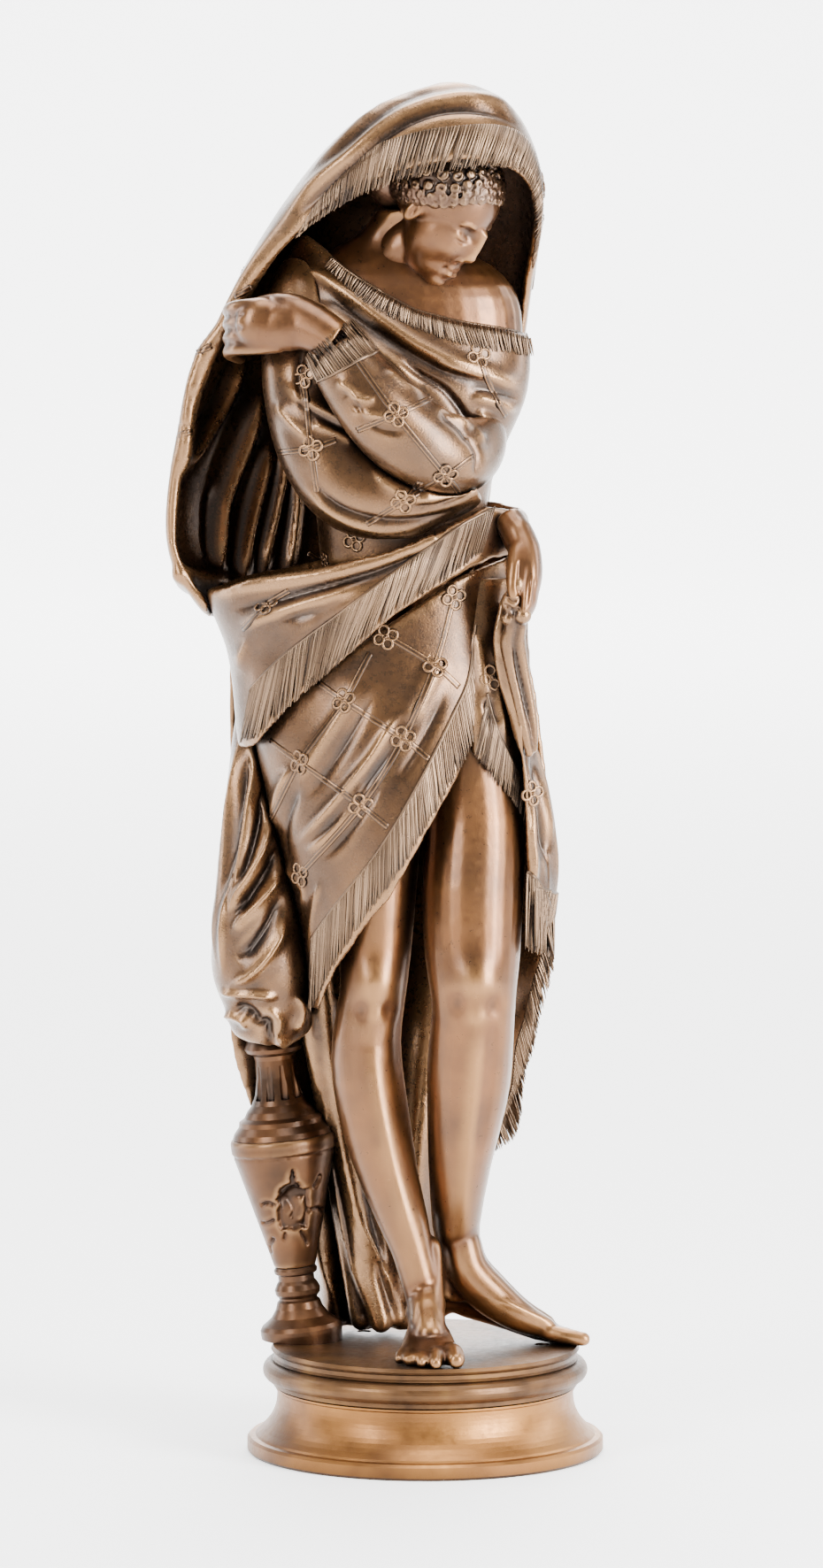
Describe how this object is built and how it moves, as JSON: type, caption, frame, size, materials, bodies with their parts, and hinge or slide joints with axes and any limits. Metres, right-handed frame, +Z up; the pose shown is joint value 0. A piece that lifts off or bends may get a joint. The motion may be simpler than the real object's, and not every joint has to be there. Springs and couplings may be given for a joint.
{
  "type": "bronze statuette",
  "caption": "Standing draped bronze figure with crossed arms under a fringed shawl, beside a broken urn, on a round terrace and a turned waisted socle.",
  "frame": {"origin": "centre of the socle's flat underside, on the surface that the statuette stands on", "axes": "+Z up through the figure, -Y towards the viewer that the figure's front faces, +X to the viewer's right"},
  "size_m": [0.1273, 0.104, 0.3971],
  "materials": {
    "bronze_socle": "golden-brown satin patina, turned",
    "bronze_terrace": "brown satin patina, turned",
    "bronze_urn": "dark brown patina, turned and chased",
    "bronze_skin": "warm brown polished patina",
    "bronze_hair": "dark brown patina, chased locks",
    "bronze_cloth": "brown patina, burnished on the folds, with a chased pattern",
    "bronze_fringe": "brown patina, finely chased strands",
    "steel_hardware": "plain",
    "brass_pins": "plain drawn rod"
  },
  "bodies": {
    "root": {"socle": "bronze_socle", "terrace": "bronze_terrace", "socle_screws": "steel_hardware", "figure_studs": "steel_hardware", "figure_washers": "steel_hardware", "figure_nuts": "steel_hardware", "urn_foot": "bronze_urn", "urn_body": "bronze_urn", "urn_neck": "bronze_urn", "urn_lip": "bronze_urn", "urn_rod": "steel_hardware", "urn_nut": "steel_hardware", "right_leg": "bronze_skin", "left_leg": "bronze_skin", "bust": "bronze_skin", "head": "bronze_skin", "torso_wrap": "bronze_cloth", "right_sleeve": "bronze_cloth", "left_sleeve": "bronze_cloth", "left_hand": "bronze_skin", "right_hand": "bronze_skin", "hood": "bronze_cloth", "hip_wrap": "bronze_cloth", "skirt_panel": "bronze_cloth", "inner_panel": "bronze_cloth", "side_fall": "bronze_cloth", "gathered_end": "bronze_cloth", "urn_cloth": "bronze_cloth", "back_fall": "bronze_cloth", "neck_pin": "brass_pins", "wrist_pins": "brass_pins", "shawl_rivets": "brass_pins"}
  },
  "joints": []
}
